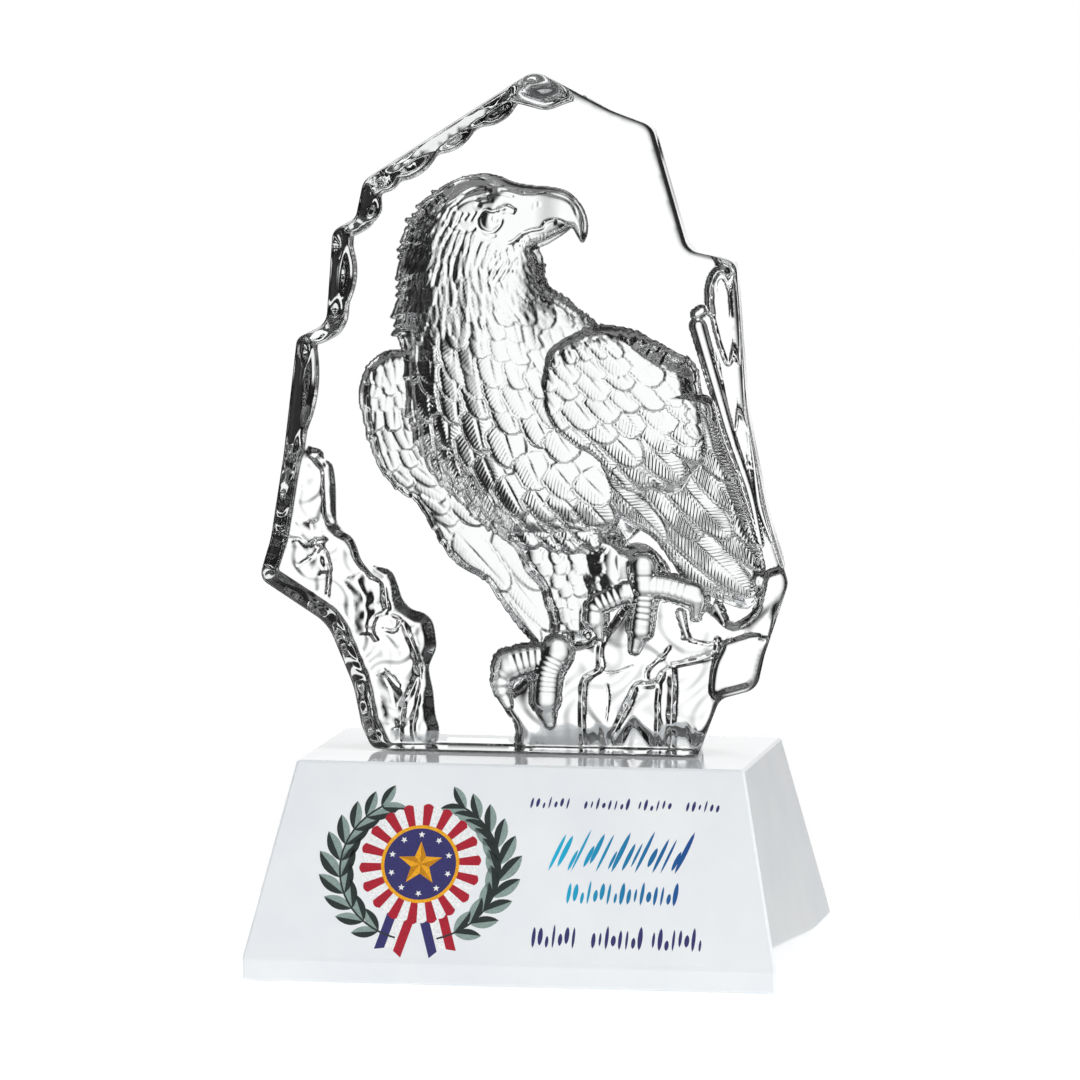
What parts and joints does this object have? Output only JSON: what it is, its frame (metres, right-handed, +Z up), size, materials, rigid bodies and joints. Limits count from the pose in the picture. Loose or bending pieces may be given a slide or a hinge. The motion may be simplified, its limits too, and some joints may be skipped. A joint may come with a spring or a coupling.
{
  "type": "eagle award trophy",
  "caption": "Clear crystal block with a broken-ice edge and a perched eagle moulded into its back, standing on a white crystal base with sloping sides.",
  "frame": {"origin": "middle of the base's flat underside", "axes": "+Z up; the polished front, through which the eagle is seen, looks along -Y; +X to the viewer's right"},
  "size_m": [0.1163, 0.0834, 0.1906],
  "materials": {
    "lead_crystal": "polished, clear",
    "white_crystal": "polished, opaque white"
  },
  "bodies": {
    "root": {"crystal_eagle_block": "lead_crystal", "white_crystal_base": "white_crystal"}
  },
  "joints": []
}
